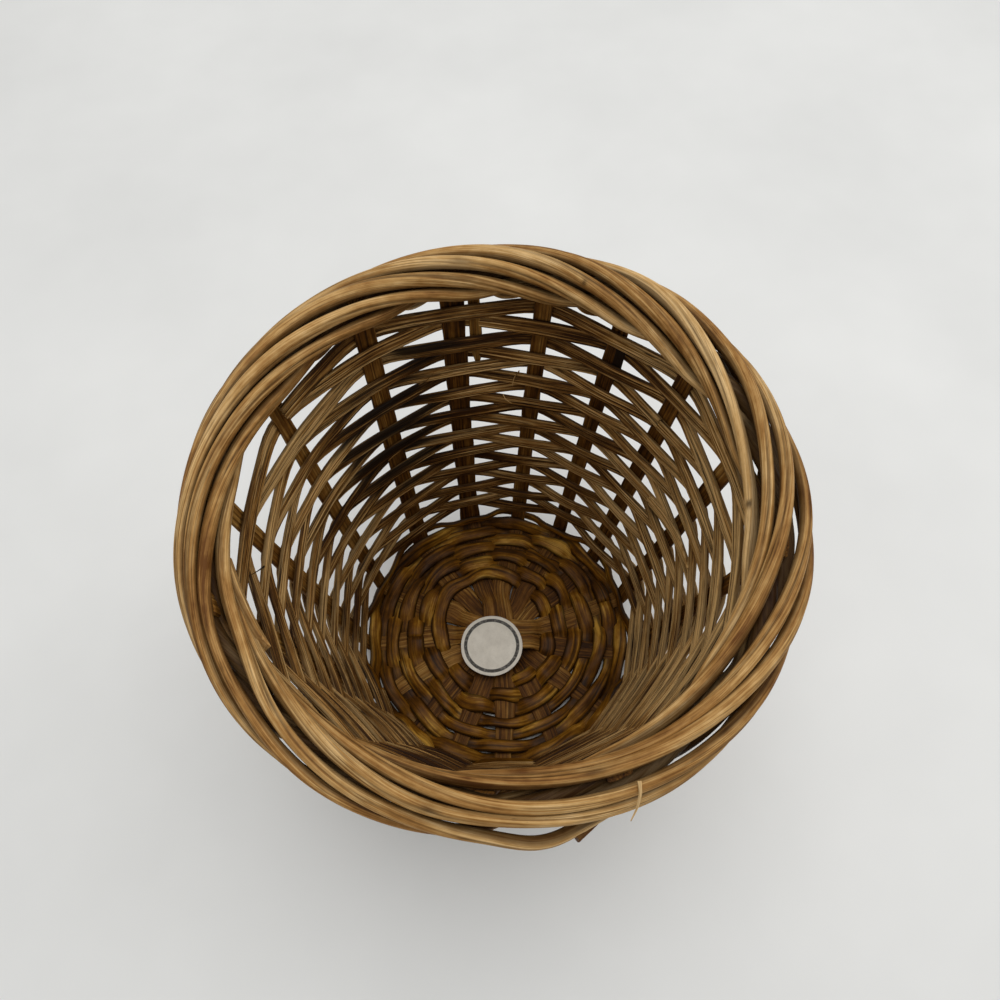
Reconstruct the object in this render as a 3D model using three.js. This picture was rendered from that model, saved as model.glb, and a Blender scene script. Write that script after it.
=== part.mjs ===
// Round wicker planter basket: flat strips cross in the base and turn up as stakes,
// flat reeds are woven round them, and round rods are rolled over the top as a border.
import * as THREE from "three";

// Overall sizes, in millimetres
const HEIGHT = 152;
const MOUTH_DIAMETER = 190;
const BASE_DIAMETER = 117;
const MOUTH_OVAL = 0.034; // the mouth is this share longer front to back
const CLEARANCE = 0.3;

// Flat strips that cross in the base and stand up as stakes
const STRIP_PAIRS = 4;
const STRIP_WIDTH = 7;
const STRIP_THICKNESS = 1.4;
const CROSSING_RADIUS = 12;
const BEND_RADIUS = 7;
const FIRST_STAKE_DEG = -14.2;
const STAKE_LEAN_DEG = -4.5; // sideways drift of a stake from the floor to the rim
const CROWDING_DEG = 4.7; // stakes stand closer together front right and back left
const CROWDING_AXIS_DEG = 14;

// Reed woven in the base
const BASE_WEAVER_WIDTH = 4.4;
const BASE_WEAVER_THICKNESS = 1.3;
const BASE_SLACK = 0.3; // room over a strip for the steep turn to the other side
const ROUND_GAP = 0.5;
const EDGE_GAP = 1.6; // between the end of the base reed and the first row of the side
const BASE_WEAVERS = 3;

// Reed woven up the side
const SIDE_WEAVER_WIDTH = 5.2;
const SIDE_WEAVER_THICKNESS = 1.6;
const ROW_GAP = 0.7;
const TOP_SPREAD = 2.9; // the last rows stand this much higher than the even spacing would put them
const SPREAD_ROWS = 3;
const SIDE_WEAVERS = 6;
const FLAT_MARGIN = 0.8; // a reed lies flat this far past each edge of a stake

// Round rods rolled over the top
const ROD_DIAMETER = 4.8;
const ROD_GAP = 0.7;
const ROD_START_DEG = 222.5; // section angle: 0 points out, 90 up and 180 in
const ROD_OUTSIDE_DEG = -25;
const ROD_TUCKED_DEG = -104;
const FOOT_TRAVEL_DEG = 11; // how far round the mouth a rod goes while it leaves the core of the roll
const ROLL_TRAVEL_DEG = 135.8; // the same on its way from the start over the top
const TUCK_TRAVEL_DEG = 15.6; // then on its way under
const TAIL_TRAVEL_DEG = 9; // and back into the core
const ROD_LEAD_DEG = 3.6; // a rod starts this far past its stake
const TAIL_REACH = 0.1; // its tip ends this share of the roll's radius from the middle of the core
const ROD_SIDES = 8;
const FOOT_STEPS = 4;
const ROLL_STEPS = 13;
const TUCK_STEPS = 4;
const TAIL_STEPS = 3;

// Paper label on the crossing
const LABEL_DIAMETER = 28;
const LABEL_THICKNESS = 0.3;
const LABEL_X = -3.4;
const LABEL_Y = -6.2;
const LABEL_SIDES = 40;

// Finishes
const STRIP_FINISH = { color: 0x5c3b1c, roughness: 0.7, metalness: 0 };
const SIDE_FINISH = { color: 0x7d5e36, roughness: 0.6, metalness: 0 };
const BASE_FINISH = { color: 0x76551f, roughness: 0.6, metalness: 0 };
const ROD_FINISH = { color: 0xa37c49, roughness: 0.55, metalness: 0 };
const PAPER_FINISH = { color: 0xd8d0bc, roughness: 0.85, metalness: 0 };

// Sizes that follow from the ones above
const rad = THREE.MathUtils.degToRad;
const deg = THREE.MathUtils.radToDeg;
const lerp = THREE.MathUtils.lerp;
const smooth = THREE.MathUtils.smoothstep;
const STAKES = 4 * STRIP_PAIRS - 1;
const STAKE_SPACE = 360 / STAKES;
const ROLL_RATE = (ROD_START_DEG - ROD_OUTSIDE_DEG) / ROLL_TRAVEL_DEG;
const ROD_STEP_DEG = ROLL_RATE * STAKE_SPACE; // section angle between neighbouring rods
const ROLL_RADIUS = (ROD_DIAMETER + ROD_GAP) / (2 * Math.sin(rad(ROD_STEP_DEG / 2)));
const RIM_SECTION = ROLL_RADIUS + ROD_DIAMETER / 2;
const RIM_RADIUS = MOUTH_DIAMETER / 2 - RIM_SECTION;
const RIM_HEIGHT = HEIGHT - RIM_SECTION;
const WALL_FOOT = BASE_DIAMETER / 2;
const WALL_SLOPE = (RIM_RADIUS - WALL_FOOT) / RIM_HEIGHT;
const WALL_ANGLE = Math.atan(WALL_SLOPE);

const BASE_SWING = (STRIP_THICKNESS + BASE_WEAVER_THICKNESS) / 2 + BASE_SLACK;
const BASE_MIDDLE = BASE_SWING + BASE_WEAVER_THICKNESS / 2;
const LAYER_STEP = STRIP_THICKNESS + CLEARANCE;
const PAIR_OFFSET = (STRIP_WIDTH + CLEARANCE) / 2;
const BEND_TANGENT = BEND_RADIUS * Math.tan((Math.PI / 2 - WALL_ANGLE) / 2);
const BEND_START = WALL_FOOT + BASE_MIDDLE * WALL_SLOPE - BEND_TANGENT;
const ROUND_PITCH = BASE_WEAVER_WIDTH + ROUND_GAP;

const SIDE_SWING = (STRIP_THICKNESS + SIDE_WEAVER_THICKNESS) / 2 + CLEARANCE;
const ROW_PITCH = SIDE_WEAVER_WIDTH * Math.cos(WALL_ANGLE) + ROW_GAP;
const WALL_START = BASE_MIDDLE + BEND_TANGENT * Math.cos(WALL_ANGLE);
const FIRST_ROW = WALL_START + SIDE_WEAVER_WIDTH / 2 + CLEARANCE;
const LAST_ROW = RIM_HEIGHT - RIM_SECTION - CLEARANCE - SIDE_WEAVER_WIDTH / 2;
const CORE_RADIUS = ROLL_RADIUS - ROD_DIAMETER / 2 - CLEARANCE;
const STAKE_TOP = RIM_HEIGHT + Math.sqrt(CORE_RADIUS ** 2 - STRIP_THICKNESS ** 2);

// The strips fan out between the crossing and the first round, where adjacent ones leave room for a reed
const LEAST_SPACE = STRIP_WIDTH + 2 * BASE_SWING;
const FIRST_ROUND = LEAST_SPACE / rad(STAKE_SPACE) + BASE_WEAVER_WIDTH / 2;
const FAN_END = FIRST_ROUND - BASE_WEAVER_WIDTH / 2 - CLEARANCE;
// Strips lie in layers until they no longer cover each other
const LAYER_END_RADIUS = (STRIP_WIDTH + CLEARANCE) / rad(STAKE_SPACE);
// The base reed winds out to the bend and round it. Its passes of stakes are counted from the first,
// and the side reeds count on from its last. Both lie inside the stakes of even passes.
const BEND_TURN = Math.PI / 2 - WALL_ANGLE;
const BEND_END = BEND_START + BEND_RADIUS * BEND_TURN;
// A flat reed stands off the hollow side of the bend by the height of the arc that it bridges
const HOLLOW_RADIUS = BEND_RADIUS - STRIP_THICKNESS / 2;
const BRIDGED_RISE = HOLLOW_RADIUS - Math.sqrt(HOLLOW_RADIUS ** 2 - (BASE_WEAVER_WIDTH / 2) ** 2);
const LAST_ROUND = BEND_END + (FIRST_ROW - WALL_START) / Math.cos(WALL_ANGLE) - EDGE_GAP;
const BASE_PASSES = Math.floor((STAKES * (LAST_ROUND - FIRST_ROUND)) / ROUND_PITCH);
const LAST_EVEN_ROW = LAST_ROW - TOP_SPREAD;
const SIDE_PASSES = Math.floor((STAKES * (LAST_EVEN_ROW - FIRST_ROW)) / ROW_PITCH);

// A point at a radius, an azimuth in degrees and a height, on the round form
function polar(radius, azimuth, height) {
  return new THREE.Vector3(radius * Math.cos(rad(azimuth)), radius * Math.sin(rad(azimuth)), height);
}

function wallRadius(height) {
  return WALL_FOOT + height * WALL_SLOPE;
}

// Azimuth of stake number n, counted on round after round, at a radius and a height
function stakeAzimuth(n, radius, height) {
  const even = FIRST_STAKE_DEG + n * STAKE_SPACE;
  const spread = THREE.MathUtils.clamp((radius - FAN_END) / (BEND_START - FAN_END), 0, 1);
  const crowding = CROWDING_DEG * spread * Math.cos(2 * rad(even - CROWDING_AXIS_DEG));
  return even + crowding + STAKE_LEAN_DEG * (height / HEIGHT);
}

// Unit direction from station i to the next one
function direction(stations, i) {
  return stations[i + 1].point.clone().sub(stations[i].point).normalize();
}

// Sweeps a closed section along stations. Each station has a point and the direction of the
// section's first axis. Corners are mitred, and the mouth's oval is put on them last.
function sweep(stations, section) {
  const positions = [];
  const last = stations.length - 1;
  stations.forEach(({ point, across }, i) => {
    const ahead = direction(stations, Math.min(i, last - 1));
    const along = direction(stations, Math.max(i - 1, 0)).add(ahead).normalize();
    const mitre = 1 / along.dot(ahead);
    const normal = along.clone().cross(across).normalize();
    const side = normal.clone().cross(along);
    for (const [u, v] of section) {
      const corner = point.clone().addScaledVector(side, u).addScaledVector(normal, v * mitre);
      corner.y *= 1 + (MOUTH_OVAL * corner.z) / RIM_HEIGHT;
      positions.push(corner.x, corner.y, corner.z);
    }
  });
  const count = section.length;
  const indices = [];
  for (let i = 0; i < last; i++) {
    for (let j = 0; j < count; j++) {
      const here = i * count + j;
      const next = i * count + ((j + 1) % count);
      indices.push(here, next, next + count, here, next + count, here + count);
    }
  }
  for (let j = 1; j < count - 1; j++) {
    indices.push(0, j + 1, j);
    indices.push(last * count, last * count + j, last * count + j + 1);
  }
  const geometry = new THREE.BufferGeometry();
  geometry.setAttribute("position", new THREE.Float32BufferAttribute(positions, 3));
  geometry.setIndex(indices);
  return geometry;
}

function flatSection(width, thickness) {
  const u = width / 2;
  const v = thickness / 2;
  return [[-u, -v], [u, -v], [u, v], [-u, v]];
}

function roundSection(diameter, sides) {
  const radius = diameter / 2;
  return Array.from({ length: sides }, (_, i) => {
    const turn = (2 * Math.PI * i) / sides;
    return [radius * Math.cos(turn), radius * Math.sin(turn)];
  });
}

const basket = new THREE.Group();

function addPiece(name, geometry, finish) {
  geometry.computeVertexNormals();
  const piece = new THREE.Mesh(geometry, new THREE.MeshStandardMaterial(finish));
  piece.name = name;
  basket.add(piece);
  return piece;
}

// One arm of a strip, from the crossing outwards: fan, base, bend and wall
function armStations(heading, offset, stake, layerHeight) {
  const stations = [];
  function addStation(radius, azimuth, height) {
    stations.push({ point: polar(radius, azimuth, height), across: polar(1, azimuth + 90, 0) });
  }
  const slopeSteps = 4;
  const fan = [CROSSING_RADIUS];
  for (let i = 0; i <= slopeSteps; i++) {
    fan.push(lerp(LAYER_END_RADIUS, FAN_END, i / slopeSteps));
  }
  for (const radius of fan) {
    const straight = heading + deg(Math.asin(offset / radius));
    const turned = smooth(radius, CROSSING_RADIUS, FAN_END);
    const azimuth = lerp(straight, stakeAzimuth(stake, radius, 0), turned);
    const height = lerp(layerHeight, BASE_MIDDLE, smooth(radius, LAYER_END_RADIUS, FAN_END));
    addStation(radius, azimuth, height);
  }
  stations[0].across = polar(1, heading + 90, 0);
  const baseSteps = 2;
  for (let i = 1; i <= baseSteps; i++) {
    const radius = lerp(FAN_END, BEND_START, i / baseSteps);
    addStation(radius, stakeAzimuth(stake, radius, 0), BASE_MIDDLE);
  }
  const bendSteps = 5;
  for (let i = 1; i <= bendSteps; i++) {
    const turn = (BEND_TURN * i) / bendSteps;
    const radius = BEND_START + BEND_RADIUS * Math.sin(turn);
    const height = BASE_MIDDLE + BEND_RADIUS * (1 - Math.cos(turn));
    addStation(radius, stakeAzimuth(stake, radius, height), height);
  }
  const wallSteps = 2;
  for (let i = 1; i <= wallSteps; i++) {
    const height = lerp(WALL_START, STAKE_TOP, i / wallSteps);
    addStation(wallRadius(height), stakeAzimuth(stake, wallRadius(height), height), height);
  }
  return stations;
}

// Strips lie in parallel pairs. The upright pairs lie over the slanting ones, and the last pair
// has one full strip and one half strip, so that the stakes are odd in number.
function addStrips() {
  const section = flatSection(STRIP_WIDTH, STRIP_THICKNESS);
  const halfWay = (STAKES - 1) / 2;
  let number = 1;
  for (let pair = 0; pair < STRIP_PAIRS; pair++) {
    const rank = (pair % 2) * Math.ceil(STRIP_PAIRS / 2) + Math.floor(pair / 2);
    const layerHeight = STRIP_THICKNESS / 2 + (STRIP_PAIRS - 1 - rank) * LAYER_STEP;
    const nearMiddle = (2 * pair + 0.5) * STAKE_SPACE;
    const farMiddle = (2 * pair + halfWay + 0.5) * STAKE_SPACE - 180;
    const heading = FIRST_STAKE_DEG + (nearMiddle + farMiddle) / 2;
    for (const side of [-1, 1]) {
      const offset = side * PAIR_OFFSET;
      const nearStake = 2 * pair + (side > 0 ? 1 : 0);
      const farStake = 2 * pair + halfWay + (side > 0 ? 0 : 1);
      const isHalf = pair === STRIP_PAIRS - 1 && side > 0;
      const near = armStations(heading, offset, nearStake, layerHeight);
      const far = armStations(heading + 180, -offset, farStake, layerHeight);
      near.forEach((station) => station.across.negate());
      const kept = isHalf ? near.slice(0, 1) : near.reverse();
      const name = isHalf ? "half_strip" : `base_strip_${number}`;
      addPiece(name, sweep([...kept, ...far], section), STRIP_FINISH);
      number += 1;
    }
  }
}

// A reed that passes stakes first..last, inside and outside in turn. place(n, shift, side) gives the
// station at pass n, moved along the reed by shift, inside the stake for side 1 and outside for -1.
function reedStations(first, last, flatHalf, place) {
  const stations = [];
  for (let n = first; n <= last; n++) {
    const side = n % 2 ? -1 : 1;
    stations.push(n === first ? place(n, CLEARANCE / 2, side) : place(n, -flatHalf, side));
    stations.push(n === last ? place(n, -CLEARANCE / 2, side) : place(n, flatHalf, side));
  }
  return stations;
}

// The base reed winds outwards from the first round to the last, and round the bend of the stakes
function addBaseWeavers() {
  const section = flatSection(BASE_WEAVER_WIDTH, BASE_WEAVER_THICKNESS);
  const flatHalf = STRIP_WIDTH / 2 + CLEARANCE / 2;
  const halfWidth = BASE_WEAVER_WIDTH / 2;
  function place(n, shift, side) {
    const reach = FIRST_ROUND + (ROUND_PITCH * n) / STAKES; // measured along the strip
    const bent = smooth(reach, BEND_START - halfWidth, BEND_START + halfWidth);
    const straightened = smooth(reach, BEND_END - halfWidth, BEND_END + halfWidth);
    const swing = side * BASE_SWING + Math.max(side, 0) * BRIDGED_RISE * (bent - straightened);
    const turn = Math.min(Math.max(reach - BEND_START, 0) / BEND_RADIUS, BEND_TURN);
    const rise = Math.max(reach - BEND_END, 0);
    const flat = Math.min(reach, BEND_START) + BEND_RADIUS * Math.sin(turn) + rise * Math.cos(turn);
    const climb = BEND_RADIUS * (1 - Math.cos(turn)) + rise * Math.sin(turn);
    const radius = flat - swing * Math.sin(turn);
    const height = BASE_MIDDLE + climb + swing * Math.cos(turn);
    const azimuth = stakeAzimuth(n, flat, climb) + deg(shift / (flat - halfWidth));
    return { point: polar(radius, azimuth, height), across: polar(Math.cos(turn), azimuth, Math.sin(turn)) };
  }
  for (let i = 0; i < BASE_WEAVERS; i++) {
    const first = Math.round((BASE_PASSES * i) / BASE_WEAVERS);
    const last = Math.round((BASE_PASSES * (i + 1)) / BASE_WEAVERS);
    const geometry = sweep(reedStations(first, last, flatHalf, place), section);
    addPiece(`base_weaver_${i + 1}`, geometry, BASE_FINISH);
  }
}

// The side reeds climb the wall as one spiral, each length starting where the last one ends
function addSideWeavers() {
  const section = flatSection(SIDE_WEAVER_WIDTH, SIDE_WEAVER_THICKNESS);
  const flatHalf = STRIP_WIDTH / 2 + FLAT_MARGIN;
  function place(n, shift, side) {
    const even = FIRST_ROW + (ROW_PITCH * (n - BASE_PASSES)) / STAKES;
    const spread = smooth(even, LAST_EVEN_ROW - SPREAD_ROWS * ROW_PITCH, LAST_EVEN_ROW - ROW_PITCH);
    const middle = even + TOP_SPREAD * spread;
    const onWall = wallRadius(middle);
    const azimuth = stakeAzimuth(n, onWall, middle) + deg(shift / onWall);
    const radius = onWall - side * SIDE_SWING * Math.cos(WALL_ANGLE);
    const height = middle + side * SIDE_SWING * Math.sin(WALL_ANGLE);
    const across = polar(Math.sin(WALL_ANGLE), azimuth, Math.cos(WALL_ANGLE));
    return { point: polar(radius, azimuth, height), across };
  }
  for (let i = 0; i < SIDE_WEAVERS; i++) {
    const first = BASE_PASSES + Math.round((SIDE_PASSES * i) / SIDE_WEAVERS);
    const last = BASE_PASSES + Math.round((SIDE_PASSES * (i + 1)) / SIDE_WEAVERS);
    const geometry = sweep(reedStations(first, last, flatHalf, place), section);
    addPiece(`side_weaver_${i + 1}`, geometry, SIDE_FINISH);
  }
}

// Each rod starts in the core of the roll beside a stake, winds over the top, is tucked under between
// two stakes and ends in the core again
function addRimRods() {
  const section = roundSection(ROD_DIAMETER, ROD_SIDES);
  const tuckEnd = ROLL_TRAVEL_DEG + TUCK_TRAVEL_DEG;
  const rodEnd = tuckEnd + TAIL_TRAVEL_DEG;
  const tuckTurn = ROD_OUTSIDE_DEG - ROD_TUCKED_DEG - ROLL_RATE * TUCK_TRAVEL_DEG;
  function rodStation(stake, travel) {
    const tucked = smooth(travel, ROLL_TRAVEL_DEG, tuckEnd);
    const turn = rad(ROD_START_DEG - ROLL_RATE * travel - tuckTurn * tucked);
    const drawnIn = (1 - TAIL_REACH) * smooth(travel, tuckEnd, rodEnd);
    const reach = ROLL_RADIUS * (smooth(travel, 0, FOOT_TRAVEL_DEG) - drawnIn);
    const past = (ROD_LEAD_DEG + travel) / STAKE_SPACE;
    const azimuth = stakeAzimuth(stake + past, RIM_RADIUS, RIM_HEIGHT);
    const radius = RIM_RADIUS + reach * Math.cos(turn);
    const height = RIM_HEIGHT + reach * Math.sin(turn);
    return { point: polar(radius, azimuth, height), across: polar(Math.cos(turn), azimuth, Math.sin(turn)) };
  }
  const stretches = [
    [0, FOOT_TRAVEL_DEG, FOOT_STEPS],
    [FOOT_TRAVEL_DEG, ROLL_TRAVEL_DEG, ROLL_STEPS],
    [ROLL_TRAVEL_DEG, tuckEnd, TUCK_STEPS],
    [tuckEnd, rodEnd, TAIL_STEPS],
  ];
  for (let i = 0; i < STAKES; i++) {
    const stations = [rodStation(i, 0)];
    for (const [from, to, steps] of stretches) {
      for (let step = 1; step <= steps; step++) {
        stations.push(rodStation(i, lerp(from, to, step / steps)));
      }
    }
    addPiece(`rim_rod_${i + 1}`, sweep(stations, section), ROD_FINISH);
  }
}

// The label lies flat on the uppermost pair of strips
function addLabel() {
  const disc = new THREE.CylinderGeometry(
    LABEL_DIAMETER / 2, LABEL_DIAMETER / 2, LABEL_THICKNESS, LABEL_SIDES,
  );
  const piece = addPiece("paper_label", disc, PAPER_FINISH);
  const crossingTop = (STRIP_PAIRS - 1) * LAYER_STEP + STRIP_THICKNESS;
  piece.rotation.x = Math.PI / 2;
  piece.position.set(LABEL_X, LABEL_Y, crossingTop + CLEARANCE + LABEL_THICKNESS / 2);
}

addStrips();
addBaseWeavers();
addSideWeavers();
addRimRods();
addLabel();

export default basket;
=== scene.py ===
"""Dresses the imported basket. Every strip, reed and rod is swept again along the path of its solid, finer,
with the unevenness, grain, grooves and stains of old split cane, then lit and framed as photographed."""

import math

import bpy
import numpy as np
from mathutils import Matrix, Vector


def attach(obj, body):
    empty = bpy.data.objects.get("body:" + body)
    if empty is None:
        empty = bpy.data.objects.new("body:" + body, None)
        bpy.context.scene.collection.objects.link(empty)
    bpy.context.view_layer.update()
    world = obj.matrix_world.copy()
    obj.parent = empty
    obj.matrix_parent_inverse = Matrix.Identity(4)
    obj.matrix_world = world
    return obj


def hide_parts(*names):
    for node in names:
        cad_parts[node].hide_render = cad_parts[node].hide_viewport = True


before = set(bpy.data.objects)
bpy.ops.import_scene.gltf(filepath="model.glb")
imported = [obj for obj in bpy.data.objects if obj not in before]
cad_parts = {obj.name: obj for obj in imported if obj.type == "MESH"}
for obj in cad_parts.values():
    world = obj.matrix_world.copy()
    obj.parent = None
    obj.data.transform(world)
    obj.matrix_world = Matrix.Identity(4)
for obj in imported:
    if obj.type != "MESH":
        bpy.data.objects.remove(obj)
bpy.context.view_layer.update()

MM = 0.001
TAU = 2 * math.pi
UP = np.array([0, 0, 1])

# Sizes of the solids, in millimetres and degrees
HEIGHT = 152
MOUTH_DIAMETER = 190
BASE_DIAMETER = 117
MOUTH_OVAL = 0.034
CLEARANCE = 0.3

STRIP_PAIRS = 4
STRIP_WIDTH = 7
STRIP_THICKNESS = 1.4
CROSSING_RADIUS = 12
BEND_RADIUS = 7
FIRST_STAKE = -14.2
STAKE_LEAN = -4.5
CROWDING = 4.7
CROWDING_AXIS = 14

BASE_WEAVER_WIDTH = 4.4
BASE_WEAVER_THICKNESS = 1.3
BASE_SLACK = 0.3
ROUND_GAP = 0.5
EDGE_GAP = 1.6
BASE_WEAVERS = 3

SIDE_WEAVER_WIDTH = 5.2
ROW_GAP = 0.7
TOP_SPREAD = 2.9
SPREAD_ROWS = 3
SIDE_WEAVERS = 6

ROD_DIAMETER = 4.8
ROD_GAP = 0.7
ROD_START = 222.5
ROD_OUTSIDE = -25
ROD_TUCKED = -104
ROLL_TRAVEL = 135.8
TUCK_TRAVEL = 15.6
TAIL_TRAVEL = 9
ROD_LEAD = 3.6
TAIL_REACH = 0.1

LABEL_DIAMETER = 28
LABEL_THICKNESS = 0.3
LABEL_CENTRE = (-3.4, -6.2)

# Sizes that follow from the ones above
STAKES = 4 * STRIP_PAIRS - 1
STAKE_SPACE = 360 / STAKES
ROLL_RATE = (ROD_START - ROD_OUTSIDE) / ROLL_TRAVEL
ROLL_RADIUS = (ROD_DIAMETER + ROD_GAP) / (2 * math.sin(math.radians(ROLL_RATE * STAKE_SPACE / 2)))
RIM_SECTION = ROLL_RADIUS + ROD_DIAMETER / 2
RIM_RADIUS = MOUTH_DIAMETER / 2 - RIM_SECTION
RIM_HEIGHT = HEIGHT - RIM_SECTION
WALL_FOOT = BASE_DIAMETER / 2
WALL_SLOPE = (RIM_RADIUS - WALL_FOOT) / RIM_HEIGHT
WALL_ANGLE = math.atan(WALL_SLOPE)
BASE_SWING = (STRIP_THICKNESS + BASE_WEAVER_THICKNESS) / 2 + BASE_SLACK
BASE_MIDDLE = BASE_SWING + BASE_WEAVER_THICKNESS / 2
LAYER_STEP = STRIP_THICKNESS + CLEARANCE
PAIR_OFFSET = (STRIP_WIDTH + CLEARANCE) / 2
BEND_TURN = math.pi / 2 - WALL_ANGLE
BEND_TANGENT = BEND_RADIUS * math.tan(BEND_TURN / 2)
BEND_START = WALL_FOOT + BASE_MIDDLE * WALL_SLOPE - BEND_TANGENT
BEND_END = BEND_START + BEND_RADIUS * BEND_TURN
ROUND_PITCH = BASE_WEAVER_WIDTH + ROUND_GAP
ROW_PITCH = SIDE_WEAVER_WIDTH * math.cos(WALL_ANGLE) + ROW_GAP
WALL_START = BASE_MIDDLE + BEND_TANGENT * math.cos(WALL_ANGLE)
FIRST_ROW = WALL_START + SIDE_WEAVER_WIDTH / 2 + CLEARANCE
LAST_ROW = RIM_HEIGHT - RIM_SECTION - CLEARANCE - SIDE_WEAVER_WIDTH / 2
CORE_RADIUS = ROLL_RADIUS - ROD_DIAMETER / 2 - CLEARANCE
STAKE_TOP = RIM_HEIGHT + math.sqrt(CORE_RADIUS**2 - STRIP_THICKNESS**2)
FIRST_ROUND = (STRIP_WIDTH + 2 * BASE_SWING) / math.radians(STAKE_SPACE) + BASE_WEAVER_WIDTH / 2
FAN_END = FIRST_ROUND - BASE_WEAVER_WIDTH / 2 - CLEARANCE
LAST_ROUND = BEND_END + (FIRST_ROW - WALL_START) / math.cos(WALL_ANGLE) - EDGE_GAP
BASE_PASSES = math.floor(STAKES * (LAST_ROUND - FIRST_ROUND) / ROUND_PITCH)
LAST_EVEN_ROW = LAST_ROW - TOP_SPREAD
SIDE_PASSES = math.floor(STAKES * (LAST_EVEN_ROW - FIRST_ROW) / ROW_PITCH)
HOLLOW_RADIUS = BEND_RADIUS - STRIP_THICKNESS / 2
BRIDGED_RISE = HOLLOW_RADIUS - math.sqrt(HOLLOW_RADIUS**2 - (BASE_WEAVER_WIDTH / 2) ** 2)

# How far each stake's top leans beyond the even lean, in degrees, how wide and how light each stake is,
# and how light its strip is in the crossing
STAKE_NUDGE = np.zeros(STAKES)
STAKE_NUDGE[[5, 6]] = 0.8, -2.0
STAKE_WIDTH = np.random.default_rng(11).uniform(6.6, 7.5, STAKES)
STAKE_WIDTH[[5, 6]] = 9.0, 8.2
STAKE_TONE = np.random.default_rng(12).uniform(0.3, 0.55, STAKES)
STAKE_TONE[7:10] = 0.8
CROSSING_TONE = np.array([
    0.85, 0.8, 0.75, 0.7, 0.6, 0.55, 0.2, 0.8, 0.85, 0.3, 0.25, 0.5, 0.5, 0.1, 0.1])

# Seeds of the random draws, and where the grain of each kind of reed starts, with a step for each number
STRIP_SEED, BASE_SEED, SIDE_SEED, ROD_SEED, LABEL_SEED = 100, 200, 300, 400, 500
STRIP_GRAIN = (0, 1000)
BASE_GRAIN = (20000, 5000)
SIDE_GRAIN = (40000, 9000)
ROD_GRAIN = (90000, 700)
BIT_GRAIN = (120000, 40)
HAIR_GRAIN = (130000, 40)

# Camera, from a fit to the rim and the base in the photograph
CAMERA_LENS = 28
CAMERA_SENSOR = 36
CAMERA_PLACE = (0, -112.34, 349.57)
CAMERA_PITCH = 62.236
CAMERA_YAW = 1.195
CAMERA_ROLL = -1.608


def smooth(x, low, high):
    """0 below low, 1 above high and an even ease between."""
    t = np.clip((np.asarray(x, float) - low) / (high - low), 0, 1)
    return t * t * (3 - 2 * t)


def hump(x, crest, span, rise):
    """A smooth hill about a crest, with a half span and a rise."""
    return rise * np.exp(-(((x - crest) / span) ** 2))


def polar(radius, azimuth, height):
    turn = np.radians(azimuth)
    return np.stack(np.broadcast_arrays(radius * np.cos(turn), radius * np.sin(turn), height), axis=-1)


def angle_off(azimuth, centre):
    """How far an azimuth lies from another one, -180..180."""
    return (azimuth - centre + 180) % 360 - 180


def unit(vectors):
    return vectors / np.linalg.norm(vectors, axis=-1, keepdims=True)


def wobble(rng, along, size, scale):
    """A smooth random curve along a reed, about as high as size, with bends about as long as scale."""
    waves = TAU / (scale * rng.uniform(0.7, 1.9, 4))
    phases = rng.uniform(0, TAU, 4)
    return size * (np.sin(np.multiply.outer(along, waves) + phases).sum(-1) / 2)


def wall_radius(height):
    return WALL_FOOT + height * WALL_SLOPE


def up_wall(azimuth):
    """The direction straight up the wall."""
    return polar(math.sin(WALL_ANGLE), azimuth, math.cos(WALL_ANGLE))


def on_wall(azimuth, height, inwards):
    """Points beside the middle of the wall."""
    radius = wall_radius(height) - inwards * math.cos(WALL_ANGLE)
    return polar(radius, azimuth, height + inwards * math.sin(WALL_ANGLE))


def stake_azimuth(n, radius, height):
    """Azimuth of stake n, counted on round after round, at a radius and a height."""
    n = np.asarray(n, float)
    even = FIRST_STAKE + n * STAKE_SPACE
    spread = np.clip((radius - FAN_END) / (BEND_START - FAN_END), 0, 1)
    crowding = CROWDING * spread * np.cos(np.radians(2 * (even - CROWDING_AXIS)))
    nudge = np.interp(n % STAKES, np.arange(STAKES + 1), np.append(STAKE_NUDGE, STAKE_NUDGE[0]))
    return even + crowding + (STAKE_LEAN + nudge) * height / HEIGHT


def length_along(path):
    return np.append(0, np.cumsum(np.linalg.norm(np.diff(path, axis=0), axis=1)))


def between(places, stops, points):
    """The points at the given places, straight between the ones at the stops."""
    return np.stack([np.interp(places, stops, column) for column in points.T], axis=-1)


def resample(step, path, *others):
    """The path and what goes with it at even steps along the path."""
    lengths = length_along(path)
    places = np.linspace(0, lengths[-1], max(int(lengths[-1] / step), 2) + 1)
    return [between(places, lengths, points) for points in (path, *others)]


def soften(path, rounds):
    """Rounds the corners of a path, in place."""
    for _ in range(rounds):
        path[1:-1] = (path[:-2] + 2 * path[1:-1] + path[2:]) / 4


# Sections. Each gives an outline of points in -1..1, anticlockwise seen from the far end of the reed.

FACE_SHARE = 0.97  # of a flat reed's half width, over which the points of its faces lie
ROD_LOBES = ((2, 1.0), (3, 0.5), (5, 0.35))  # ridges round a rod, and how high they are
ROD_GROOVE_DEPTH = 0.22  # as a share of the radius
ROD_INNER_SHADE_AND_DIRT = 0.85  # how dark a rod is painted on the side turned to the inside of the roll: painted shade, with some grime
SHADED_DIRTY_TURNS = (0.95, 1.5)  # round the rod from its outer side, over which it gets so


def flat_outline(points, power):
    """A flat reed's outline: points across each face, and one on each edge."""
    x = np.linspace(-FACE_SHARE, FACE_SHARE, points)
    y = (1 - np.abs(x) ** power) ** (1 / power)
    lower = np.stack([x, -y], axis=-1)
    upper = np.stack([x[::-1], y[::-1]], axis=-1)
    return np.concatenate([lower, [[1, 0]], upper, [[-1, 0]]])


def round_outline(points):
    turn = np.arange(points) * TAU / points
    return np.stack([np.cos(turn), np.sin(turn)], axis=-1)


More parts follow.
